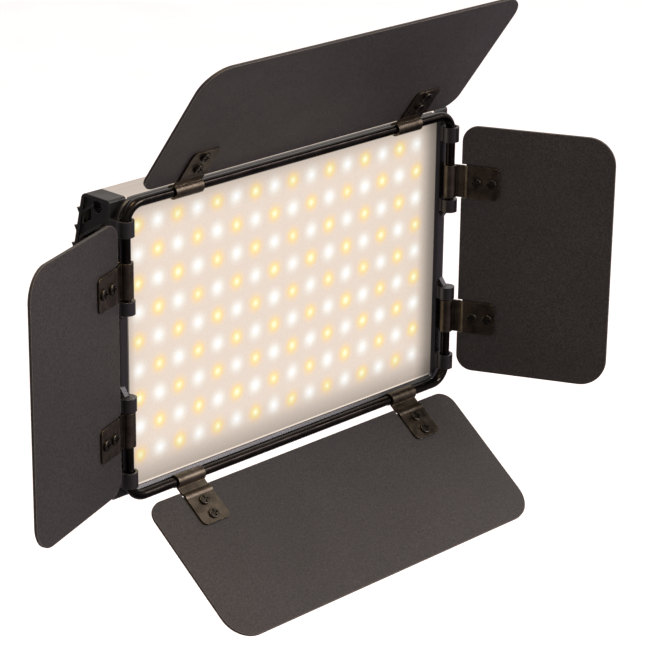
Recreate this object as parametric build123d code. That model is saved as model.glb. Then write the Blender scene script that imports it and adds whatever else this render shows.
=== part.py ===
from build123d import *
import math
import os

# Small bi-colour LED panel light with four barn doors.
# Millimetres, +Z up. The light faces -Y and +X is to the right of someone who looks into it.
# The origin is the centre of the mouth of the tripod socket, under the foot.
# Everything below is drawn about the centre of the glowing film and moved up and forward on saving.

panel_y = -17.0  # the glowing film's front face, in front of the tripod socket
panel_z = 58.0  # the panel's centre, above the tripod socket's mouth

# Lamp body: a hollow aluminium extrusion that runs left to right, closed by two plastic caps.
body_half_x = 73.2
cap_half_x = 80.2
body_half_z = 51.8
body_front = -2.3
body_back_top = 10.9  # depth at the top edge
body_back = 17.9  # depth of the flat middle of the back
flat_half_z = 22.4
wall = 1.5
front_wall_half_z = 50.85  # the front lips are thinned to take the diffuser
web_front = 4.6  # inner wall that carries the LED board
web_back = 6.2
channel_y = 4.4  # screw channels that the end caps screw into
channel_z = 48.2
fin_heights = (45.8, 39.5, 33.2, 26.9)
vents = 11
vent_top = 49.2
vent_pitch = 8.0
vent_slope = 0.6
vent_height = 3.8

# Front: bezel, diffuser and the two hinge rods.
bezel_half_x = 78.4
bezel_half_z = 51.6
bezel_front = -4.0
lip_back = -3.17
window_half_x = 73.7
window_half_z = 48.7
sheet_half_x = 77.6
sheet_half_z = 50.75
sheet_r = 6.2
rod_r = 1.65
rod_x = 77.5
rod_z = 50.75
rod_y = -6.75
rod_end = 15.5  # height at which a rod ends, inside its socket
rod_bend = 6.5

# LED board: a checkerboard of warm and cool emitters.
led_columns = 16
led_rows = 9
pitch_x = 8.87
pitch_z = 10.0
board_half_x = 72.0
board_half_z = 45.6
board_front = 3.0

# Barn doors: flat leaves on spring clips. Angles are measured from the panel's plane, forwards.
leaf_near = 4.2  # hinge edge, from the rod's axis
leaf_far = 60.0
leaf_face = -0.62  # beam side of the leaf, from the rod's axis
leaf_thick = 1.0
long_half = 74.3
short_half = 46.5
long_clip = 52.5
short_clip = 25.7
clip_width = 12.0
notch_half = 6.4
clip_thick = 0.75
clip_bore = 1.70
strap_top = -0.35  # beam side of the strap between the eye and the tab
notch_end = 5.9  # the leaf is notched under each strap, out to here
clip_end = 18.4
screw_near = 9.8
screw_far = 15.5
door_angle = {"top": 35.8, "bottom": 52.7, "left": 20.7, "right": 64.0}
door_shift = {"top": 1.2, "bottom": 1.2, "left": 0.2, "right": 0.2}

# Back: control panel, knobs, switch, power inlet and battery plate.
panel_back = 20.1
knob_x = 36.0
knob_z = 10.2
switch_x = 56.0
switch_z = 8.0
inlet_x = 57.0
inlet_z = -10.5
battery_x = (-58.0, 12.0)
battery_half_z = 19.2
plate_back = 22.3
board_y = (8.6, 10.2)

# Foot under the body, with the tripod socket.
foot_bottom = -panel_z
socket_y = -panel_y
socket_r = 3.175
socket_top = -49.5

os.makedirs("parts", exist_ok=True)


def save(name, *shapes):
    shape = shapes[0] if len(shapes) == 1 else Compound(children=list(shapes))
    export_step(Pos(0, panel_y, panel_z) * shape, f"parts/{name}.step")


def block(x0, x1, y0, y1, z0, z1):
    return Pos((x0 + x1) / 2, (y0 + y1) / 2, (z0 + z1) / 2) * Box(x1 - x0, y1 - y0, z1 - z0)


def pin_x(r, x0, x1, y, z):
    return Pos((x0 + x1) / 2, y, z) * Rot(0, 90, 0) * Cylinder(r, x1 - x0)


def pin_y(r, x, y0, y1, z):
    return Pos(x, (y0 + y1) / 2, z) * Rot(90, 0, 0) * Cylinder(r, y1 - y0)


def pin_z(r, x, y, z0, z1):
    return Pos(x, y, (z0 + z1) / 2) * Cylinder(r, z1 - z0)


def facing(y):
    # drawing plane across the lamp at depth y; extruding from it goes forwards
    return Plane(origin=(0, y, 0), x_dir=(1, 0, 0), z_dir=(0, -1, 0))


def slab(half_x, half_z, r, back, front):
    return extrude(facing(back) * RectangleRounded(2 * half_x, 2 * half_z, r), back - front)


def both(shape, plane):
    return shape + mirror(shape, about=plane)


def pan_screw(head_r, head_h, shank_r, length):
    # head sits on z = 0 and the shank runs down; cross recess in the crown
    head = Pos(0, 0, head_h / 2) * Cylinder(head_r, head_h)
    head = fillet(head.edges().group_by(Axis.Z)[-1], head_h * 0.45)
    shank = Pos(0, 0, -length / 2) * Cylinder(shank_r, length)
    arm = Pos(0, 0, head_h) * Box(head_r * 1.4, head_r * 0.3, head_h * 1.2)
    return head + shank - arm - Rot(0, 0, 90) * arm


def flush_screw(head_r, shank_r, length):
    # flat head whose top is at z = 0
    head = Pos(0, 0, -0.7) * Cylinder(head_r, 1.4)
    shank = Pos(0, 0, -length / 2) * Cylinder(shank_r, length)
    arm = Box(head_r * 1.2, head_r * 0.26, 1.3)
    return head + shank - arm - Rot(0, 0, 90) * arm


def on_back(x, y, z):
    # local +Z points out of the lamp's back
    return Plane(origin=(x, y, z), x_dir=(1, 0, 0), z_dir=(0, 1, 0)).location


# Lamp body --------------------------------------------------------------------------------------


def slope_y(z):
    return body_back_top + (body_half_z - z) * (body_back - body_back_top) / (body_half_z - flat_half_z)


def profile():
    # side view of the body: straight front, sloping back with small fins, flat middle
    upper = [(body_front, body_half_z), (body_back_top, body_half_z)]
    for z in fin_heights:
        upper.append((slope_y(z + 0.5), z + 0.5))
        upper.append((slope_y(z) + 1.3, z + 0.4))
        upper.append((slope_y(z - 1.3), z - 1.3))
    upper.append((body_back, flat_half_z))
    lower = [(y, -z) for y, z in reversed(upper)]
    face = make_face(Plane.YZ * Polyline(*upper, *lower, close=True))
    tops = [v for v in face.vertices() if abs(abs(v.Z) - body_half_z) < 0.01]
    face = fillet([v for v in tops if v.Y > 0], 2.5)
    tops = [v for v in face.vertices() if abs(abs(v.Z) - body_half_z) < 0.01 and v.Y < 0]
    return fillet(tops, 1.0)


def hollow(y0):
    # the space inside the back half, from depth y0 to the rear wall
    top = body_half_z - wall + 0.1
    upper = [(y0, top), (body_back_top - wall + 0.2, top), (body_back - wall, flat_half_z - 0.6)]
    lower = [(y, -z) for y, z in reversed(upper)]
    return make_face(Plane.YZ * Polyline(*upper, *lower, close=True))


def along_x(face, x0, x1):
    return Pos(x0, 0, 0) * extrude(face, x1 - x0, dir=(1, 0, 0))


outline = profile()
body_solid = along_x(outline, -body_half_x, body_half_x)

body = body_solid
body -= along_x(hollow(web_back), -body_half_x, body_half_x)
body -= block(-body_half_x, body_half_x, body_front, 2.3, -front_wall_half_z, front_wall_half_z)
body -= block(-body_half_x, body_half_x, 2.3, web_front, -50.3, 50.3)
for sz in (-1, 1):
    body += pin_x(2.2, -body_half_x, body_half_x, channel_y, sz * channel_z)
for sz in (-1, 1):
    body -= pin_x(1.1, -body_half_x, body_half_x, channel_y, sz * channel_z)

board_screw_spots = [(sx * 69.6, sz * 43.2) for sx in (-1, 1) for sz in (-1, 1)]
standoff_spots = [(x, sz * 15.0) for x in (-55.0, 15.0) for sz in (-1, 1)]
control_spots = [(x, sz * 17.2) for x in (28.6, 67.0) for sz in (-1, 1)]
rear_screw_spots = [(sx * 69.4, sz * 18.6) for sx in (-1, 1) for sz in (-1, 1)]
plate_screw_spots = [(x, sz * 12.0) for x in (-44.0, -4.0) for sz in (-1, 1)]
foot_screw_spots = [(-10.5, 8.6), (10.5, 8.6)]
link_spots = [(10.0, -4.0), (10.0, 4.0)]

for x, z in board_screw_spots:
    body -= pin_y(1.25, x, web_front - 1, web_back + 1, z)
for x, z in standoff_spots + control_spots:
    body -= pin_y(1.2, x, web_front - 1, web_back + 1, z)
for x, z in link_spots:
    body -= pin_y(1.3, x, web_front - 1, web_back + 1, z)
for x, z in rear_screw_spots + plate_screw_spots:
    body -= pin_y(1.25, x, body_back - 3, body_back + 1, z)
for x, y in foot_screw_spots:
    body -= pin_z(1.5, x, y, -body_half_z - 1, -body_half_z + 3)
body -= block(26.0, 66.0, body_back - 3, body_back + 1, -17.6, 17.6)
body -= block(1.6, 10.4, body_back - 3, body_back + 1, -5.0, 5.0)
save("body_extrusion", body)


def rear_y(z):
    return min(body_back, slope_y(abs(z)))


def slant(z, y0, y1, low, high):
    # a slanting bar in side view; z is its line's height at y = 4, and low and high are drops below it
    ends = [(y0, low), (y1, low), (y1, high), (y0, high)]
    return make_face(Plane.YZ * Polyline(*[(y, z - vent_slope * (y - 4.0) - d) for y, d in ends], close=True))


def end_cap():
    # the right-hand cap; the left one is its mirror image
    cap = along_x(outline, body_half_x, cap_half_x)
    cap -= along_x(hollow(3.4), body_half_x, cap_half_x - wall - 0.8)
    cap -= slab(77.75, front_wall_half_z, sheet_r + 0.1, 3.4, body_front)
    rim = offset(hollow(body_front + 1.5), amount=0.3, kind=Kind.INTERSECTION)
    cap -= along_x(rim, cap_half_x - 0.8, cap_half_x + 1)
    for sz in (-1, 1):
        cap += pin_x(2.7, body_half_x, cap_half_x - 1.5, channel_y, sz * channel_z) & block(
            0, 90, 1.8, 20, -50.9, 50.9
        )
    for sz in (-1, 1):
        cap -= pin_x(2.05, cap_half_x - 2.2, cap_half_x + 1, channel_y, sz * channel_z)
        cap -= pin_x(1.1, body_half_x - 1, cap_half_x, channel_y, sz * channel_z)
    # slanting vents down the side, each with a raised lip over its top and its rear edge
    for i in range(vents):
        z = vent_top - vent_pitch * i
        front = 7.4 if i == 0 else 4.0
        rear = min(rear_y(z - 4.8), rear_y(z - 9.0)) - 1.9
        cap += along_x(slant(z, front - 1.8, rear + 0.6, -0.8, 0.0), cap_half_x - 0.9, cap_half_x - 0.3)
        cap += along_x(slant(z, rear, rear + 0.6, -0.1, vent_height), cap_half_x - 0.9, cap_half_x - 0.3)
        cap -= along_x(slant(z, front, rear, 0.0, vent_height), cap_half_x - 3.0, cap_half_x + 1)
    return cap


right_cap = end_cap()
save("end_cap_right", right_cap)
save("end_cap_left", mirror(right_cap, about=Plane.YZ))

cap_screw = pan_screw(1.9, 1.3, 1.1, 9.0)
cap_screws = []
for sx in (-1, 1):
    for sz in (-1, 1):
        seat = Plane(origin=(sx * (cap_half_x - 2.2), channel_y, sz * channel_z), x_dir=(0, 1, 0), z_dir=(sx, 0, 0))
        cap_screws.append(seat.location * cap_screw)
save("cap_screws", *cap_screws)

# Front -------------------------------------------------------------------------------------------


def rod_path(sz):
    return FilletPolyline(
        (-rod_x, rod_y, sz * rod_end),
        (-rod_x, rod_y, sz * rod_z),
        (rod_x, rod_y, sz * rod_z),
        (rod_x, rod_y, sz * rod_end),
        radius=rod_bend,
    )


def hinge_rod(sz, r):
    path = rod_path(sz)
    return sweep(Plane(origin=path @ 0, z_dir=path % 0) * Circle(r), path=path)


bezel = slab(bezel_half_x, bezel_half_z, 8.0, body_front, bezel_front)
bezel = fillet(bezel.edges().group_by(Axis.Y)[0], 0.9)
bezel -= slab(77.65, 50.8, sheet_r, body_front, lip_back)
inner_edge = facing(lip_back) * RectangleRounded(2 * window_half_x, 2 * window_half_z, 1.2)
outer_edge = facing(bezel_front) * RectangleRounded(2 * window_half_x + 2.4, 2 * window_half_z + 2.4, 2.0)
bezel -= loft([inner_edge, outer_edge])
# four lugs that hook round the rods, and four blind sockets that take their ends, each with a web
lug = pin_z(2.95, rod_x, rod_y, 40.6, 46.0) + block(74.95, cap_half_x, rod_y, bezel_front, 40.6, 46.0)
lug += block(78.2, cap_half_x, bezel_front, body_front, 40.6, 46.0)
socket = pin_z(2.9, rod_x, rod_y, 14.4, 19.0) + block(75.1, 78.9, rod_y, bezel_front + 0.3, 14.4, 19.0)
web = Polyline((bezel_front + 0.3, 14.5), (bezel_front - 2.2, 14.5), (bezel_front + 0.3, 11.4), close=True)
socket += along_x(make_face(Plane.YZ * web), 76.4, 78.4)
corner = both(both(lug + socket, Plane.XY), Plane.YZ)
bezel += corner
hook = both(both(pin_z(2.05, rod_x, rod_y, 40.0, 46.5), Plane.XY), Plane.YZ)
bezel = bezel - hook - hinge_rod(1, rod_r + 0.03) - hinge_rod(-1, rod_r + 0.03)
save("front_bezel", bezel)

save("hinge_rod_upper", hinge_rod(1, rod_r))
save("hinge_rod_lower", hinge_rod(-1, rod_r))

save("diffuser_panel", slab(sheet_half_x, sheet_half_z, sheet_r, 0.0, lip_back + 0.02))
save("diffusion_film", slab(sheet_half_x, sheet_half_z, sheet_r, 0.22, 0.0))
save("light_frame", slab(sheet_half_x, sheet_half_z, sheet_r, 1.8, 0.22) - slab(73.4, 47.6, 2.0, 1.8, 0.22))

# LED board ---------------------------------------------------------------------------------------

led_board = block(-board_half_x, board_half_x, board_front, web_front, -board_half_z, board_half_z)
for x, z in board_screw_spots:
    led_board -= pin_y(1.25, x, board_front - 1, web_front + 1, z)
save("led_board", led_board)

emitter = Box(2.8, 0.8, 3.5)
warm, cool = [], []
for row in range(led_rows):
    for column in range(led_columns):
        x = (column - (led_columns - 1) / 2) * pitch_x
        z = ((led_rows - 1) / 2 - row) * pitch_z
        group = warm if (row + column) % 2 == 0 else cool
        group.append(Pos(x, board_front - 0.4, z) * emitter)
save("warm_leds", *warm)
save("cool_leds", *cool)

board_screw = pan_screw(2.0, 1.1, 1.25, web_back - board_front)
front_seats = [
    Plane(origin=(x, board_front, z), x_dir=(1, 0, 0), z_dir=(0, -1, 0)).location
    for x, z in board_screw_spots
]
save("board_screws", *[seat * board_screw for seat in front_seats])

# Electronics behind the web ----------------------------------------------------------------------

driver = block(-58.0, 18.0, board_y[0], board_y[1], -18.0, 18.0)
control = block(26.2, 69.6, board_y[0], board_y[1], -19.6, 19.6)
for x, z in standoff_spots:
    driver -= pin_y(1.2, x, board_y[0] - 1, board_y[1] + 1, z)
for x, z in control_spots:
    control -= pin_y(1.2, x, board_y[0] - 1, board_y[1] + 1, z)
for x, z in link_spots:
    driver -= pin_y(0.8, x, board_y[0] - 1, board_y[1] + 1, z)
save("driver_board", driver)
save("control_board", control)

standoffs, circuit_screws = [], []
circuit_screw = pan_screw(2.1, 1.3, 1.2, board_y[1] - web_front)
for x, z in standoff_spots + control_spots:
    standoffs.append(pin_y(2.3, x, web_back, board_y[0], z) - pin_y(1.2, x, web_back, board_y[0], z))
    circuit_screws.append(on_back(x, board_y[1], z) * circuit_screw)
save("circuit_standoffs", *standoffs)
save("circuit_screws", *circuit_screws)
save("board_link_pins", *[pin_y(0.8, x, web_front, board_y[1] + 1.2, z) for x, z in link_spots])

coil = fillet(Box(9.0, 4.2, 9.0).edges().filter_by(Axis.Y), 1.6)
save("driver_inductors", *[Pos(x, board_y[1] + 2.1, 7.5) * coil for x in (-44.0, -30.0)])
save("driver_capacitors", *[pin_y(3.1, x, board_y[1], board_y[1] + 5.4, -9.0) for x in (-46.0, -37.5, -29.0)])
chips = [(-14.0, 6.0, 7.0, 7.0), (0.0, 7.0, 9.0, 6.0), (-12.0, -8.0, 5.0, 4.0), (2.0, -9.0, 6.0, 5.0)]
save(
    "driver_chips",
    *[block(x - w / 2, x + w / 2, board_y[1], board_y[1] + 1.1, z - h / 2, z + h / 2) for x, z, w, h in chips],
)
save("control_ribbon", block(15.6, 29.4, board_y[1], board_y[1] + 0.4, -5.0, 5.0))

# Back panel and its controls ---------------------------------------------------------------------

rear_panel = extrude(facing(panel_back) * RectangleRounded(2 * 72.4, 2 * 21.6, 4.0), panel_back - body_back)
rear_panel = chamfer(rear_panel.edges().group_by(Axis.Y)[-1], 0.5)
for sz in (-1, 1):
    rear_panel -= pin_y(3.9, knob_x, body_back - 1, panel_back + 1, sz * knob_z)
rear_panel -= block(switch_x - 6.5, switch_x + 6.5, 17, 21, switch_z - 4.5, switch_z + 4.5)
rear_panel -= pin_y(4.3, inlet_x, body_back - 1, panel_back + 1, inlet_z)
for x, z in rear_screw_spots:
    rear_panel -= pin_y(2.3, x, panel_back - 1.4, panel_back + 1, z)
    rear_panel -= pin_y(1.25, x, body_back - 1, panel_back, z)
for x, z in plate_screw_spots:
    rear_panel -= pin_y(1.25, x, body_back - 1, panel_back + 1, z)
rear_panel -= block(1.6, 10.4, 17, 21, -5.0, 5.0)
save("rear_panel", rear_panel)

rear_screw = flush_screw(2.3, 1.25, panel_back - body_back + wall)
save("rear_panel_screws", *[on_back(x, panel_back, z) * rear_screw for x, z in rear_screw_spots])


def potentiometer(z):
    can = block(knob_x - 5.5, knob_x + 5.5, board_y[1], 15.0, z - 5.5, z + 5.5)
    bush = pin_y(3.9, knob_x, 15.0, panel_back, z)
    return can + bush - pin_y(3.05, knob_x, 12.6, panel_back + 1, z)


def knob(z):
    # fluted cap with a pointer groove on its face
    cap = pin_y(7.0, knob_x, 20.6, 29.2, z)
    cap = fillet(cap.edges().group_by(Axis.Y)[-1], 0.9)
    for i in range(24):
        a = 2 * math.pi * i / 24
        cap -= pin_y(0.55, knob_x + 7.25 * math.cos(a), 21.8, 30, z + 7.25 * math.sin(a))
    cap -= block(knob_x - 0.5, knob_x + 0.5, 28.7, 30, z + 1.5, z + 6.0)
    return cap - pin_y(3.0, knob_x, 20, 27.2, z)


for name, z in (("brightness", knob_z), ("colour", -knob_z)):
    save(name + "_pot", potentiometer(z))
    save(name + "_knob", knob(z))
    save(name + "_shaft", pin_y(3.0, knob_x, 13.0, 27.0, z))

# rocker switch: housing with a deep well, and a rocker that tips about a pin
rocker_y = 19.4
housing = block(switch_x - 6.5, switch_x + 6.5, board_y[1], panel_back, switch_z - 4.5, switch_z + 4.5)
housing += block(switch_x - 7.7, switch_x + 7.7, panel_back, 21.5, switch_z - 5.7, switch_z + 5.7)
housing -= block(switch_x - 5.7, switch_x + 5.7, 13.0, 22.0, switch_z - 3.7, switch_z + 3.7)
housing -= pin_z(0.85, switch_x, rocker_y, switch_z - 4.2, switch_z + 4.2)
save("switch_housing", housing)

rocker = Polyline((-5.1, -1.3), (5.1, -1.3), (5.1, 3.0), (0, 2.1), (-5.1, 3.0), close=True)
rocker = extrude(make_face(Plane.XY * rocker), 3.5, both=True)
rocker = Pos(switch_x, rocker_y, switch_z) * Rot(0, 0, 7) * rocker
rocker += pin_z(0.8, switch_x, rocker_y, switch_z - 4.1, switch_z + 4.1)
save("power_rocker", rocker)

jack = block(inlet_x - 5, inlet_x + 5, board_y[1], 19.9, inlet_z - 5, inlet_z + 5) & block(0, 80, 0, 17.9, -30, 0)
jack += pin_y(4.3, inlet_x, 17.9, panel_back + 0.6, inlet_z)
jack -= pin_y(2.85, inlet_x, 11.6, panel_back + 1, inlet_z)
save("power_inlet", jack)
save("inlet_pin", pin_y(1.0, inlet_x, 11.6, 19.2, inlet_z))

# Battery plate -----------------------------------------------------------------------------------

plate = block(battery_x[0], battery_x[1], panel_back, plate_back, -battery_half_z, battery_half_z)
plate = fillet(plate.edges().filter_by(Axis.Y), 2.0)
rail = block(-57.0, 4.0, plate_back, 26.3, 17.2, battery_half_z)
for x0 in (-48.0, -14.0):
    rail += block(x0, x0 + 11, 24.7, 26.3, 15.0, 17.3)
plate += both(rail, Plane.XY)
plate += block(-57.0, -52.0, plate_back, 25.4, -10.0, 10.0)
for x, z in plate_screw_spots:
    plate -= pin_y(2.3, x, plate_back - 1.4, plate_back + 1, z)
    plate -= pin_y(1.25, x, panel_back - 1, plate_back, z)
plate -= block(2.8, 9.2, panel_back - 1, plate_back + 1, -4.2, 4.2)
save("battery_plate", plate)
plate_screw = flush_screw(2.3, 1.25, plate_back - body_back + wall)
save("battery_plate_screws", *[on_back(x, plate_back, z) * plate_screw for x, z in plate_screw_spots])
save("battery_contacts", *[block(-52.0, -45.5, 23.0, 24.8, z - 0.4, z + 0.4) for z in (-6.0, 0.0, 6.0)])

# catch that is pressed into the plate to free the battery; its flange keeps it in
catch = block(3.0, 9.0, 19.1, 24.4, -4.0, 4.0)
catch = chamfer(catch.edges().group_by(Axis.Y)[-1].sort_by(Axis.X)[-1], 1.6)
catch += block(1.8, 10.2, 19.0, 19.9, -4.8, 4.8)
save("battery_catch", catch)

# Foot and tripod socket --------------------------------------------------------------------------

foot = block(-15.0, 15.0, 3.6, 24.5, foot_bottom, -44.0)
foot = fillet(foot.edges().filter_by(Axis.Z), 3.0)
foot -= body_solid
foot -= block(-16, 16, 3.0, 12.0, -50.0, -40.0)
foot -= pin_z(4.5, 0, socket_y, foot_bottom - 1, socket_top)
for x, y in foot_screw_spots:
    foot -= pin_z(2.7, x, y, foot_bottom - 1, foot_bottom + 3.2)
    foot -= pin_z(1.5, x, y, foot_bottom, -50)
save("mount_foot", foot)
insert = pin_z(4.5, 0, socket_y, foot_bottom, socket_top) - pin_z(socket_r, 0, socket_y, foot_bottom, socket_top)
save("tripod_socket", insert)
foot_screw = Rot(180, 0, 0) * pan_screw(2.6, 1.6, 1.5, 4.6)
save("foot_screws", *[Pos(x, y, foot_bottom + 3.2) * foot_screw for x, y in foot_screw_spots])

# Barn doors --------------------------------------------------------------------------------------
# Each door is drawn flat: x along the hinge, y away from the rod's axis, z towards the beam.


def leaf(half, clip):
    plate = block(-half, half, leaf_near, leaf_far, leaf_face - leaf_thick, leaf_face)
    upright = plate.edges().filter_by(Axis.Z)
    plate = fillet(upright.group_by(Axis.Y)[-1], 10.0)
    plate = fillet(plate.edges().filter_by(Axis.Z).filter_by_position(Axis.Y, 0, leaf_near + 0.1), 6.0)
    for sx in (-1, 1):
        x = sx * clip
        plate -= block(x - notch_half, x + notch_half, leaf_near - 1, notch_end, -3, 1)
        for y in (screw_near, screw_far):
            plate -= pin_z(1.0, x, y, leaf_face - 2, leaf_face + 1)
    return plate


def spring_clip():
    # an eye rolled over the rod, a sunk strap through the leaf's notch, a step up and a flat tab
    eye = Circle(clip_bore + clip_thick) - Circle(clip_bore)
    eye -= Polygon((0, 0), (4.5, -2.2), (2.4, -4.4), align=None)
    tab_top = leaf_face + clip_thick
    strap = Polygon(
        (1.6, strap_top - clip_thick),
        (5.0, strap_top - clip_thick),
        (5.9, leaf_face),
        (clip_end, leaf_face),
        (clip_end, tab_top),
        (7.4, tab_top),
        (6.5, tab_top + 0.2),
        (5.8, tab_top),
        (4.9, strap_top),
        (2.0, strap_top),
        align=None,
    )
    side = eye + strap
    upright = Plane(origin=(-clip_width / 2, 0, 0), x_dir=(0, 1, 0), z_dir=(1, 0, 0))
    clip = extrude(upright * side, clip_width)
    clip = fillet(clip.edges().filter_by(Axis.Z).group_by(Axis.Y)[-1], 2.0)
    for y in (screw_near, screw_far):
        clip -= pin_z(1.0, 0, y, leaf_face - 1, leaf_face + 2)
    return clip


def door_frame(name):
    # where the door's flat drawing goes: the rod's axis, the hinge's direction, the beam side
    a = math.radians(door_angle[name])
    c, s = math.cos(a), math.sin(a)
    shift = door_shift[name]
    if name == "top":
        return Plane(origin=(shift, rod_y, rod_z), x_dir=(1, 0, 0), z_dir=(0, -c, -s))
    if name == "bottom":
        return Plane(origin=(shift, rod_y, -rod_z), x_dir=(-1, 0, 0), z_dir=(0, -c, s))
    if name == "left":
        return Plane(origin=(-rod_x, rod_y, shift), x_dir=(0, 0, 1), z_dir=(s, -c, 0))
    return Plane(origin=(rod_x, rod_y, shift), x_dir=(0, 0, -1), z_dir=(-s, -c, 0))


clip = spring_clip()
clip_screw = Pos(0, 0, leaf_face + clip_thick) * pan_screw(1.95, 0.8, 1.0, clip_thick + leaf_thick + 0.3)
for name in ("top", "bottom", "left", "right"):
    long = name in ("top", "bottom")
    half = long_half if long else short_half
    spot = long_clip if long else short_clip
    place = door_frame(name).location
    save(name + "_door_leaf", place * leaf(half, spot))
    save(name + "_door_clips", *[place * Pos(sx * spot, 0, 0) * clip for sx in (-1, 1)])
    screws = [Pos(sx * spot, y, 0) * clip_screw for sx in (-1, 1) for y in (screw_near, screw_far)]
    save(name + "_door_screws", *[place * screw for screw in screws])
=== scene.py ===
import bpy
import numpy as np
from mathutils import Matrix


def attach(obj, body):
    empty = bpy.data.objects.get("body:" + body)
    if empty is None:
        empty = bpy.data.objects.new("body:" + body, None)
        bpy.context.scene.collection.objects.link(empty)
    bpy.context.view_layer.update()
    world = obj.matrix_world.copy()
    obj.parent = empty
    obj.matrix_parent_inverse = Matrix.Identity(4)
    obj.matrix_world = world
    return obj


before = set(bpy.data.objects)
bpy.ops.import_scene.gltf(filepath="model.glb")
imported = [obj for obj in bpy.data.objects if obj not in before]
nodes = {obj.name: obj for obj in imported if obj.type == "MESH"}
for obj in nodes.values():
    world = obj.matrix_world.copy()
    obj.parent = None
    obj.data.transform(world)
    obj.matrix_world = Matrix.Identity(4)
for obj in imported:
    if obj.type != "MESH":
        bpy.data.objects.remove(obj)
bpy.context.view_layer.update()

# ---------------------------------------------------------------------------------------------
# Hinge rods
# Two 3.3 mm steel rods bent to a U, drawn, black nickel plated and lightly oiled. They are the
# smoothest black on the lamp, so they carry long bright streaks.


def srgb(code, gain=1.0):
    """An sRGB hex colour as linear light, times gain."""
    c = np.array([int(code[i : i + 2], 16) for i in (1, 3, 5)]) / 255
    linear = np.where(c <= 0.04045, c / 12.92, ((c + 0.055) / 1.055) ** 2.4) * gain
    return (*[float(v) for v in linear], 1.0)


def material(name):
    """An empty node material."""
    mat = bpy.data.materials.new(name)
    mat.use_nodes = True
    mat.node_tree.nodes.clear()
    return mat


def add(mat, kind, settings=None, inputs=None):
    """Adds one node with its settings; an input that is a socket is linked, any other is set."""
    node = mat.node_tree.nodes.new("ShaderNode" + kind)
    for key, value in (settings or {}).items():
        setattr(node, key, value)
    for key, value in (inputs or {}).items():
        if isinstance(value, bpy.types.NodeSocket):
            mat.node_tree.links.new(value, node.inputs[key])
        else:
            node.inputs[key].default_value = value
    return node


def grain(mat, size, stretch=(1, 1, 1), detail=2.0, low=0.0, high=1.0):
    """Noise whose grains are size millimetres wide, stretched along the axes, from low to high."""
    place = add(mat, "TexCoord").outputs["Object"]
    scale = tuple(1000 / size / s for s in stretch)
    place = add(mat, "Mapping", None, {"Vector": place, "Scale": scale}).outputs["Vector"]
    noise = add(mat, "TexNoise", None, {"Vector": place, "Scale": 1.0, "Detail": detail})
    spread = {"From Min": 0.3, "From Max": 0.7, "To Min": low, "To Max": high}
    return add(mat, "MapRange", None, {"Value": noise.outputs["Fac"], **spread}).outputs["Result"]


def blend(mat, share, one, two):
    """One colour to the other by share; each is a hex code or a socket."""
    one, two = (srgb(c) if isinstance(c, str) else c for c in (one, two))
    mixed = add(mat, "Mix", {"data_type": "RGBA"}, {0: share, 6: one, 7: two})
    return mixed.outputs[2]


def relief(mat, height, depth, radius=0.0):
    """A normal with bumps depth millimetres high, over edges rounded to radius millimetres."""
    under = {"Height": height, "Strength": 1.0, "Distance": depth / 1000}
    if radius:
        rounded = add(mat, "Bevel", {"samples": 4}, {"Radius": radius / 1000})
        under["Normal"] = rounded.outputs["Normal"]
    return add(mat, "Bump", None, under).outputs["Normal"]


def surface(mat, inputs):
    """Closes a material with one principled shader."""
    shader = add(mat, "BsdfPrincipled", None, inputs)
    add(mat, "OutputMaterial", None, {"Surface": shader.outputs["BSDF"]})
    return mat


def wear(mat, *names):
    """Puts the material on CAD nodes."""
    for name in names:
        data = nodes[name].data
        data.materials.clear()
        data.materials.append(mat)


black_nickel = material("black nickel plated steel")
drawn = grain(black_nickel, 0.6, (8, 1, 8))
smear = grain(black_nickel, 9.0, low=0.1, high=0.2)
surface(
    black_nickel,
    {
        "Base Color": blend(black_nickel, drawn, "#1d1a18", "#322d29"),
        "Metallic": 1.0,
        "Roughness": smear,
        "Normal": relief(black_nickel, drawn, 0.004),
    },
)
wear(black_nickel, "hinge_rod_upper", "hinge_rod_lower")

# ---------------------------------------------------------------------------------------------
# Bezel with its rod hooks and sockets
# Injection-moulded ABS with a satin texture from the mould. Thin, black, a little greasy where
# hands touch it, with softly rounded edges that are painted paler as a highlight.


def edge(mat, width, gain=3.0):
    """How near a point is to a sharp edge within width millimetres.

    It is 1 minus the cosine between the rounded and the flat normal, times gain.
    """
    rounded = add(mat, "Bevel", {"samples": 4}, {"Radius": width / 1000}).outputs["Normal"]
    flat = add(mat, "NewGeometry").outputs["Normal"]
    same = add(mat, "VectorMath", {"operation": "DOT_PRODUCT"}, {0: rounded, 1: flat})
    gap = {"From Min": 1.0, "From Max": 1.0 - 1.0 / gain, "To Min": 0.0, "To Max": 1.0}
    return add(mat, "MapRange", None, {"Value": same.outputs["Value"], **gap}).outputs["Result"]


satin_abs = material("satin moulded ABS")
spark = grain(satin_abs, 0.45)
handled = grain(satin_abs, 14.0, low=0.24, high=0.36)
tone = blend(satin_abs, spark, "#0f0c0d", "#191516")
surface(
    satin_abs,
    {
        # The paler colour near the edges is a painted highlight.
        "Base Color": blend(satin_abs, edge(satin_abs, 0.35, 5.0), tone, "#3b3532"),
        "Roughness": handled,
        "Specular IOR Level": 0.75,
        "Normal": relief(satin_abs, spark, 0.008, 0.3),
    },
)
wear(satin_abs, "front_bezel")

# ---------------------------------------------------------------------------------------------
# Body extrusion
# A 6063 aluminium extrusion, blasted and clear anodised. It is a warm silver with faint lines
# along its length from the die, and its corners are painted slightly brighter as a highlight.


def arithmetic(mat, operation, one, two=0.0, three=0.0):
    """One step of arithmetic in a material's pattern; an input that is a socket is linked."""
    return add(mat, "Math", {"operation": operation}, {0: one, 1: two, 2: three}).outputs[0]


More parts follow.
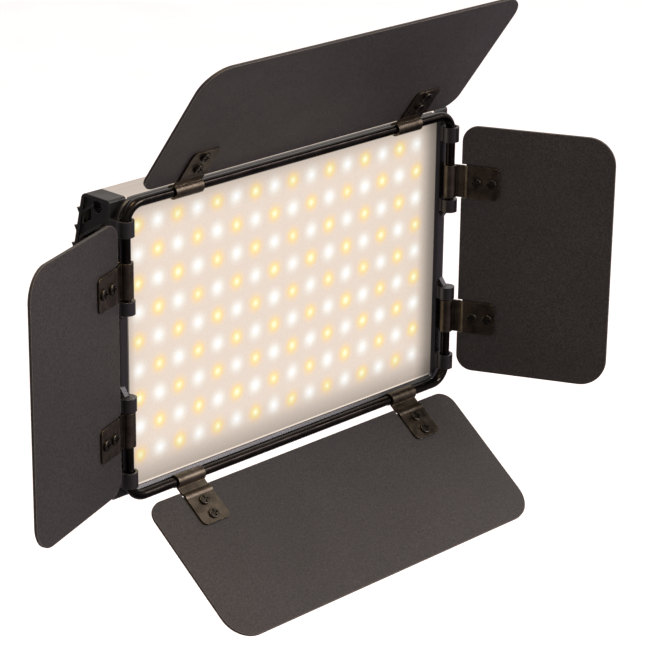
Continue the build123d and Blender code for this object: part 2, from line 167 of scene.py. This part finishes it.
anodised = material("clear anodised aluminium")
die = grain(anodised, 0.5, (400, 1, 1), 3.0)
blast = grain(anodised, 0.35)
cloud = grain(anodised, 22.0, (2, 1, 1), low=0.3, high=0.42)
drawn_and_blasted = arithmetic(anodised, "ADD", die, blast)
shade = blend(anodised, die, "#d3c8bf", "#e3d9d1")
surface(
    anodised,
    {
        # The brighter colour on the corners is a painted highlight.
        "Base Color": blend(anodised, edge(anodised, 0.4, 4.0), shade, "#f2ece6"),
        "Metallic": 1.0,
        "Roughness": cloud,
        "Normal": relief(anodised, drawn_and_blasted, 0.006, 0.25),
    },
)
wear(anodised, "body_extrusion")

# ---------------------------------------------------------------------------------------------
# End caps, foot and back panel
# Injection-moulded ABS with a coarser spark-eroded texture, dull black. Corners are painted
# greyer, partly where they rub and partly as a painted highlight.

spark_abs = material("spark-textured ABS")
pits = grain(spark_abs, 0.55, detail=4.0)
rubbed = grain(spark_abs, 10.0, low=0.34, high=0.5)
dull = blend(spark_abs, pits, "#0c0b0b", "#171515")
surface(
    spark_abs,
    {
        # The greyer corners are partly rubbing, partly a painted highlight.
        "Base Color": blend(spark_abs, edge(spark_abs, 0.4, 4.0), dull, "#45413e"),
        "Roughness": rubbed,
        "Normal": relief(spark_abs, pits, 0.03, 0.35),
    },
)
wear(spark_abs, "end_cap_left", "end_cap_right", "mount_foot", "rear_panel")
wear(spark_abs, "battery_plate", "switch_housing", "power_inlet")

# ---------------------------------------------------------------------------------------------
# Barn door leaves
# 1 mm aluminium sheet, blanked with round corners and powder coated in fine black. The coat is
# a dense matt speckle, thinner on the cut edges, which are painted paler: partly the thin coat,
# partly a painted highlight.


def powder_coat(name, low, high, rim):
    """Fine powder coat: two speckle colours, and the paler colour of the cut edge, partly thin coat
    and partly a painted highlight.
    """
    mat = material(name)
    speck = grain(mat, 0.7, detail=5.0)
    peel = grain(mat, 2.6)
    broad = grain(mat, 45.0, low=0.0, high=0.35)
    body = blend(mat, speck, low, high)
    body = blend(mat, broad, body, low)
    height = arithmetic(mat, "MULTIPLY_ADD", peel, 0.5, speck)
    return surface(
        mat,
        {
            # The pale rim is partly the thin coat, partly a painted highlight.
            "Base Color": blend(mat, edge(mat, 0.35, 2.5), body, rim),
            "Roughness": grain(mat, 18.0, low=0.5, high=0.6),
            "Specular IOR Level": 0.4,
            "Normal": relief(mat, height, 0.03, 0.25),
        },
    )


powder = powder_coat("fine black powder coat", "#221f1f", "#3a3535", "#8a8276")
wear(powder, "top_door_leaf", "left_door_leaf", "right_door_leaf", "bottom_door_leaf")

# ---------------------------------------------------------------------------------------------
# Door clips
# 0.75 mm spring steel, rolled into an eye and stepped, then blackened. The oxide is thin, so
# the steel keeps a bronze cast, with blotches from the bath and bright rubbed edges.

oxide = material("blackened spring steel")
blotch = grain(oxide, 4.0, detail=4.0)
rolled = grain(oxide, 0.4, (1, 6, 1), 3.0)
steel = blend(oxide, blotch, "#4b433a", "#6f6558")
steel = blend(oxide, arithmetic(oxide, "MULTIPLY", rolled, 0.35), steel, "#332b22")
surface(
    oxide,
    {
        "Base Color": blend(oxide, edge(oxide, 0.2, 2.5), steel, "#a3947a"),
        "Metallic": 1.0,
        "Roughness": grain(oxide, 2.2, low=0.27, high=0.42),
        "Normal": relief(oxide, rolled, 0.006, 0.12),
    },
)
wear(oxide, "top_door_clips", "bottom_door_clips", "left_door_clips", "right_door_clips")

# ---------------------------------------------------------------------------------------------
# Screws
# Machine-made steel screws. The doors' are oiled black steel, painted near black round the head
# and in the cross as painted shade, the lamp's are black zinc, and those inside and under the foot
# bright zinc.


def zinc_plate(name, low, high, rim):
    """Plated screw steel: two tones of plate, and the tone of its rims: wear where paler, painted
    shade where dark.
    """
    mat = material(name)
    plate = grain(mat, 1.2, detail=3.0)
    tone = blend(mat, plate, low, high)
    return surface(
        mat,
        {
            "Base Color": blend(mat, edge(mat, 0.15, 2.0), tone, rim),
            "Metallic": 1.0,
            "Roughness": grain(mat, 0.8, low=0.24, high=0.4),
            "Normal": relief(mat, plate, 0.006, 0.1),
        },
    )


# The door screws' near-black rims are painted shade round the head and in the cross.
oiled_steel = zinc_plate("oiled black steel", "#3a3630", "#544f47", "#0d0b0a")
black_zinc = zinc_plate("black zinc", "#1c1918", "#2f2a28", "#8b8178")
bright_zinc = zinc_plate("bright zinc", "#a9a7a2", "#c9c7c1", "#e6e4de")
wear(oiled_steel, "top_door_screws", "bottom_door_screws", "left_door_screws", "right_door_screws")
wear(black_zinc, "cap_screws", "rear_panel_screws", "battery_plate_screws")
wear(bright_zinc, "board_screws", "circuit_screws", "foot_screws")

# ---------------------------------------------------------------------------------------------
# Diffuser and glowing film
# A 3 mm acrylic sheet with a fine satin face, over a thin white film that the LEDs light from
# behind. The film shows a checkerboard of pools: cool white ones, and warm ones with an amber
# rim, and it darkens past the last row. A thin band along its top and bottom edge is painted
# bright again, a painted highlight along the bezel's lip.

acrylic = material("satin acrylic")
frost = grain(acrylic, 0.8, detail=3.0)
surface(
    acrylic,
    {
        "Base Color": blend(acrylic, frost, "#fbf6f1", "#ffffff"),
        "Transmission Weight": 1.0,
        "Roughness": grain(acrylic, 6.0, low=0.1, high=0.14),
        "IOR": 1.49,
    },
)
wear(acrylic, "diffuser_panel")

pitch_x, pitch_z = 8.87, 10.0  # LED spacing in millimetres
columns, rows = 16, 9
shift_x, shift_z = -1.35, 0.85  # how far the glow sits off the panel's centre, in millimetres
off_grid = 9.0  # added to the distance from an LED outside the grid, so that only haze is left
lamp_z = 58.0  # the panel's centre above the tripod socket
glow = material("lit diffusion film")


def sums(operation, one, two=0.0, three=0.0):
    """One step of arithmetic in the film's pattern."""
    return arithmetic(glow, operation, one, two, three)


def ramp(distance, stops):
    """Colour by distance in millimetres: stops are distances and colours, blended in between."""
    near, far = stops[0][0], stops[-1][0]
    along = sums("SUBTRACT", distance, near) if near else distance
    scale = add(glow, "ValToRGB", None, {"Fac": sums("DIVIDE", along, far - near)})
    band = scale.color_ramp.elements
    while len(band) < len(stops):
        band.new(0.5)
    for element, (where, colour) in zip(band, stops):
        element.position = (where - near) / (far - near)
        element.color = colour
    return scale.outputs["Color"]


def pool(distance, stops):
    """Colour by distance from an LED: distance, hex code and gain."""
    return ramp(distance, [(where, srgb(code, gain)) for where, code, gain in stops])


def fade(distance, stops):
    """Share of light left by distance from the panel's centre line."""
    return ramp(distance, [(where, (share, share, share, 1.0)) for where, share in stops])


spot = add(glow, "TexCoord").outputs["Object"]
axes = add(glow, "SeparateXYZ", None, {0: spot})
across = sums("MULTIPLY_ADD", axes.outputs["X"], 1000.0, -shift_x)
up = sums("MULTIPLY_ADD", axes.outputs["Z"], 1000.0, -lamp_z - shift_z)
wobble = grain(glow, 7.0, low=-0.25, high=0.25)
column = sums("ADD", sums("DIVIDE", across, pitch_x), columns / 2)
row = sums("SUBTRACT", rows / 2, sums("DIVIDE", up, pitch_z))
side = sums("MULTIPLY", sums("SUBTRACT", sums("FRACT", column), 0.5), pitch_x)
rise = sums("MULTIPLY", sums("SUBTRACT", sums("FRACT", row), 0.5), pitch_z)
reach = sums("SQRT", sums("MULTIPLY_ADD", side, side, sums("MULTIPLY", rise, rise)))
reach = sums("MAXIMUM", sums("ADD", reach, wobble), 0.0)
in_columns = sums("LESS_THAN", sums("ABSOLUTE", across), columns / 2 * pitch_x)
in_rows = sums("LESS_THAN", sums("ABSOLUTE", up), rows / 2 * pitch_z)
outside = sums("SUBTRACT", 1.0, sums("MULTIPLY", in_columns, in_rows))
reach = sums("ADD", reach, sums("MULTIPLY", outside, off_grid))
turn = sums("MODULO", sums("ADD", sums("FLOOR", column), sums("FLOOR", row)), 2.0)
haze = "#eedfd2"
cool_pool = pool(
    reach,
    [
        (0, "#ffffff", 1.2),
        (0.9, "#fffffe", 1.04),
        (1.6, "#fefcf7", 1.0),
        (2.4, "#f9f1e7", 1.0),
        (3.3, "#f1e6db", 1.0),
        (4.6, haze, 1.0),
    ],
)
warm_pool = pool(
    reach,
    [
        (0, "#fffee2", 1.15),
        (0.8, "#fffbca", 1.03),
        (1.5, "#ffefae", 1.0),
        (2.2, "#ffe3b0", 1.0),
        (3.1, "#f6e0c6", 1.0),
        (4.6, haze, 1.0),
    ],
)
light = blend(glow, turn, warm_pool, cool_pool)
edge_x = fade(
    sums("ABSOLUTE", across),
    [(62, 1.0), (68, 0.95), (70, 0.78), (72, 0.58), (74, 0.4), (77.6, 0.22)],
)
# From 49.85 mm off the centre line the film turns bright again: a painted highlight along the
# bezel's lip.
edge_z = fade(
    sums("ABSOLUTE", up),
    [(36, 1.0), (42, 0.9), (44, 0.8), (46, 0.69), (48, 0.61), (49.85, 0.55), (50.0, 1.05)],
)
kept_light = sums("MULTIPLY", edge_x, edge_z)
times = {"data_type": "RGBA", "blend_type": "MULTIPLY"}
light = add(glow, "Mix", times, {0: 1.0, 6: light, 7: kept_light}).outputs[2]
surface(
    glow,
    {
        "Base Color": blend(glow, grain(glow, 1.5), "#36322f", "#3f3b37"),
        "Roughness": 0.6,
        "Specular IOR Level": 0.2,
        "Emission Color": light,
        "Emission Strength": 0.98,
    },
)
wear(glow, "diffusion_film")

# ---------------------------------------------------------------------------------------------
# LED board and light frame
# A white-masked aluminium circuit board with two kinds of emitter, under a white moulded frame.
# The board is glossy white, and the emitters are yellow phosphor under clear silicone.


def plain_finish(name, low, high, rough, size=0.8, metallic=0.0):
    """An even moulded, coated or turned finish.

    low and high are its two close tones, rough its lowest and highest roughness, and size its
    grain in millimetres.
    """
    mat = material(name)
    tiny = grain(mat, size, detail=3.0)
    return surface(
        mat,
        {
            "Base Color": blend(mat, tiny, low, high),
            "Metallic": metallic,
            "Roughness": grain(mat, 6 * size, low=rough[0], high=rough[1]),
            "Normal": relief(mat, tiny, 0.008, 0.12),
        },
    )


wear(plain_finish("white solder mask", "#e6e6e0", "#f4f4ef", (0.25, 0.35)), "led_board")
wear(plain_finish("white polycarbonate", "#e3e1da", "#efede6", (0.4, 0.5)), "light_frame")
wear(plain_finish("warm phosphor", "#e79a1c", "#f2b23a", (0.15, 0.25), 0.4), "warm_leds")
wear(plain_finish("cool phosphor", "#e8e07a", "#f3ec96", (0.15, 0.25), 0.4), "cool_leds")

# ---------------------------------------------------------------------------------------------
# Driver and control boards
# Green glass-epoxy boards on brass standoffs, with wound inductors, can capacitors and black
# moulded chips, joined by a flat ribbon. The other brass, gold and turned steel is here too.

green_mask = plain_finish("green solder mask", "#0f4a2a", "#17603a", (0.28, 0.4), 1.2)
epoxy = plain_finish("black epoxy", "#141414", "#222222", (0.5, 0.65))
can = plain_finish("aluminium can", "#b9bbc0", "#cfd1d4", (0.25, 0.35), 0.8, 1.0)
brass = plain_finish("machined brass", "#b8924a", "#d1ac62", (0.22, 0.34), 0.5, 1.0)
gold = plain_finish("gold plate", "#d8b25a", "#e6c676", (0.14, 0.22), 0.5, 1.0)
ribbon = plain_finish("ribbon insulation", "#b8b8b2", "#d6d6d0", (0.4, 0.5))
phenolic = plain_finish("phenolic case", "#1a1715", "#2a2522", (0.45, 0.6))
turned_steel = plain_finish("turned steel shaft", "#a7a6a3", "#c4c3c0", (0.2, 0.3), 0.4, 1.0)
wear(green_mask, "driver_board", "control_board")
wear(epoxy, "driver_chips", "driver_inductors")
wear(can, "driver_capacitors")
wear(brass, "circuit_standoffs", "board_link_pins", "tripod_socket")
wear(gold, "battery_contacts", "inlet_pin")
wear(ribbon, "control_ribbon")
wear(phenolic, "brightness_pot", "colour_pot")
wear(turned_steel, "brightness_shaft", "colour_shaft")

# ---------------------------------------------------------------------------------------------
# Knobs, rocker and catch
# Fluted knobs in soft-touch rubber with a white paint-filled pointer, whose paint also flecks
# the rim across from it; a glossier moulded rocker and catch.

knob_x = 36.0  # both knobs' centre, in millimetres from the socket's axis
knob_rise = 10.2  # each knob's centre above or below the panel's centre
floor_y = 11.9  # depth of the pointer groove, in millimetres behind the socket
soft_touch = material("soft-touch rubber")
parts = add(soft_touch, "SeparateXYZ", None, {0: add(soft_touch, "TexCoord").outputs["Object"]})
dust = grain(soft_touch, 0.6, detail=4.0)
deep = arithmetic(soft_touch, "LESS_THAN", parts.outputs["Y"], floor_y / 1000)
near = arithmetic(soft_touch, "GREATER_THAN", parts.outputs["Y"], (floor_y - 0.5) / 1000)
middle = arithmetic(soft_touch, "COMPARE", parts.outputs["X"], knob_x / 1000, 0.0006)
groove = arithmetic(soft_touch, "MULTIPLY", deep, near)
groove = arithmetic(soft_touch, "MULTIPLY", groove, middle)
rubber = blend(soft_touch, dust, "#171616", "#252323")
rubber = blend(soft_touch, edge(soft_touch, 0.3, 3.0), rubber, "#3c3937")
surface(
    soft_touch,
    {
        "Base Color": blend(soft_touch, groove, rubber, "#dedbd4"),
        "Roughness": grain(soft_touch, 5.0, low=0.58, high=0.72),
        "Normal": relief(soft_touch, dust, 0.02, 0.2),
    },
)
wear(soft_touch, "brightness_knob", "colour_knob")
wear(plain_finish("glossy moulded ABS", "#121212", "#1d1c1c", (0.2, 0.32)), "power_rocker")
wear(plain_finish("grey moulded ABS", "#4a4a4a", "#585857", (0.35, 0.45)), "battery_catch")

# ---------------------------------------------------------------------------------------------
# Dial marks and switch marks
# White screen-printed ink, 0.03 mm thick: a ring of marks round each knob, longer at the ends
# and in the middle, and a bar and a ring on the rocker. The dials' patches face the front, so
# their ink lies within the panel, flush with its face, and barely shows.

ink = plain_finish("screen-printed ink", "#d4d2cb", "#e8e6df", (0.5, 0.6), 0.3)
ink_thickness = 0.00003  # metres


def print_on(name, points, faces, body):
    """A printed shape: its flat patches, given ink's thickness."""
    mesh = bpy.data.meshes.new(name)
    mesh.from_pydata((points / 1000).tolist(), [], faces.tolist())
    mesh.update()
    obj = bpy.data.objects.new(name, mesh)
    bpy.context.scene.collection.objects.link(obj)
    mesh.materials.append(ink)
    film = obj.modifiers.new("ink", "SOLIDIFY")
    film.thickness = ink_thickness
    film.offset = 1.0
    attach(obj, body)
    return obj


panel_face = 3.1  # the back panel's face, in millimetres behind the socket
marks, sweep = 11, 140.0  # round each dial, from -sweep to sweep degrees
mark_foot, short_mark, long_mark, half_mark = 7.7, 8.7, 9.3, 0.16  # radii and half a mark's width


def dial(name, centre_z):
    """One ring of marks: each a patch of equal width, from one radius to another."""
    angle = np.radians(np.linspace(-sweep, sweep, marks))[:, None]
    tip = np.where(np.arange(marks) % 5 == 0, long_mark, short_mark)[:, None]
    radius = np.concatenate([np.full((marks, 2), mark_foot), np.repeat(tip, 2, 1)], 1)
    width = np.array([-half_mark, half_mark, half_mark, -half_mark])[None, :]
    x = knob_x + radius * np.sin(angle) + width * np.cos(angle)
    z = centre_z + radius * np.cos(angle) - width * np.sin(angle)
    points = np.stack([x, np.full_like(x, panel_face), z], -1).reshape(-1, 3)
    return print_on(name, points, np.arange(4 * marks).reshape(marks, 4), "lamp")


dial("brightness_marks", lamp_z + knob_rise)
dial("colour_marks", lamp_z - knob_rise)

pin_x, pin_y, pin_z = 56.0, 2.4, lamp_z + 8.0  # the rocker's pin, in millimetres
rocker_lean = 7.0  # degrees, switched on
dish, slope = 2.1, 0.9 / 5.1  # the rocker's face above its pin: the middle, and the rise either way


def on_rocker(along, cross):
    """Points on the rocker's face: up its slope from the middle, then leant about its pin."""
    high = dish + slope * np.abs(along)
    lean = np.radians(rocker_lean)
    x = pin_x + along * np.cos(lean) - high * np.sin(lean)
    y = pin_y + along * np.sin(lean) + high * np.cos(lean)
    return np.stack([x, y, pin_z + cross], -1).reshape(-1, 3)


bar_x = np.array([-3.2, -2.8, -2.8, -3.2])
bar_z = np.array([-1.3, -1.3, 1.3, 1.3])
print_on("switch_bar", on_rocker(bar_x, bar_z), np.array([[3, 2, 1, 0]]), "power_switch")

ring_steps, ring_middle = 24, 3.0
ring_radii = np.array([0.95, 1.3])[:, None]
step = np.linspace(0, 2 * np.pi, ring_steps + 1)[:-1]
ring = on_rocker(ring_middle + ring_radii * np.cos(step), ring_radii * np.sin(step))
first = np.arange(ring_steps)
following = (first + 1) % ring_steps
ring_faces = np.stack([first, following, following + ring_steps, first + ring_steps], 1)
print_on("switch_ring", ring, ring_faces, "power_switch")

# ---------------------------------------------------------------------------------------------
# Floor, light and camera
# A plain pale floor, lit from beneath like a shooting table, a soft sky that is darker below and
# on the left, two soft boxes in front on the right, and a warmer one overhead.

half, low = 9, -0.2  # the floor's half width and its height, in metres
floor_mesh = bpy.data.meshes.new("floor")
corners = [(-half, -half, low), (half, -half, low), (half, half, low), (-half, half, low)]
floor_mesh.from_pydata(corners, [], [(0, 1, 2, 3)])
floor = bpy.data.objects.new("floor", floor_mesh)
bpy.context.scene.collection.objects.link(floor)
paper = material("white paper")
surface(
    paper,
    {
        "Base Color": blend(paper, grain(paper, 60.0), "#f4f2f4", "#faf8fa"),
        "Roughness": 0.9,
        "Emission Color": (0.95, 0.88, 1.0, 1.0),
        "Emission Strength": 0.3,
    },
)
floor_mesh.materials.append(paper)
floor.visible_glossy = False

world = bpy.data.worlds.new("studio")
bpy.context.scene.world = world
world.use_nodes = True
world.node_tree.nodes.clear()
below, above = (0.29, 0.25, 0.29, 1.0), (0.88, 0.84, 0.80, 1.0)
aim = add(world, "SeparateXYZ", None, {0: add(world, "TexCoord").outputs["Generated"]})
rising = {"Value": aim.outputs["Z"], "From Min": -0.15, "From Max": 0.35}
rising = add(world, "MapRange", None, rising).outputs["Result"]
tint = add(world, "Mix", {"data_type": "RGBA"}, {0: rising, 6: below, 7: above})
strength = {"Value": aim.outputs["X"], "From Min": -0.8, "From Max": 0.2, "To Min": 0.3}
strength = add(world, "MapRange", None, strength).outputs["Result"]
sky = add(world, "Background", None, {"Color": tint.outputs[2], "Strength": strength})
add(world, "OutputWorld", None, {"Surface": sky.outputs[0]})


def soft_box(name, place, size, power, colour):
    """A square light at place, facing the lamp: size metres wide, power in watts."""
    data = bpy.data.lights.new(name, "AREA")
    data.size = size
    data.energy = power
    data.color = srgb(colour)[:3]
    obj = bpy.data.objects.new(name, data)
    bpy.context.scene.collection.objects.link(obj)
    back = np.array(place) - np.array((0.0, 0.0, 0.05))
    back /= np.linalg.norm(back)
    right = np.cross((0, 0, 1), back)
    right /= np.linalg.norm(right)
    turned = np.eye(4)
    turned[:3, :3] = np.stack([right, np.cross(back, right), back], 1)
    turned[:3, 3] = place
    obj.matrix_world = Matrix(turned.tolist())


soft_box("key", (0.8, -1.6, 0.9), 0.6, 17.5, "#fff8f8")
soft_box("sheen", (1.3, -1.1, 1.1), 0.35, 3.0, "#fdf2ff")
soft_box("top", (-0.3, -0.2, 1.7), 0.6, 13.0, "#ffdca8")

# A long lens from the front left, a little above. The matrix holds its turn, and its place in the
# last column.
lens = bpy.data.cameras.new("camera")
lens.sensor_width = 36.0
lens.lens = 146.46
lens.clip_end = 50.0
camera = bpy.data.objects.new("camera", lens)
bpy.context.scene.collection.objects.link(camera)
camera.matrix_world = Matrix(
    (
        (0.69847, 0.24182, -0.67354, -0.60112),
        (-0.71555, 0.25046, -0.65212, -0.61810),
        (0.01101, 0.93744, 0.34797, 0.36328),
        (0.0, 0.0, 0.0, 1.0),
    )
)
bpy.context.scene.camera = camera
bpy.context.scene.view_settings.view_transform = "Standard"
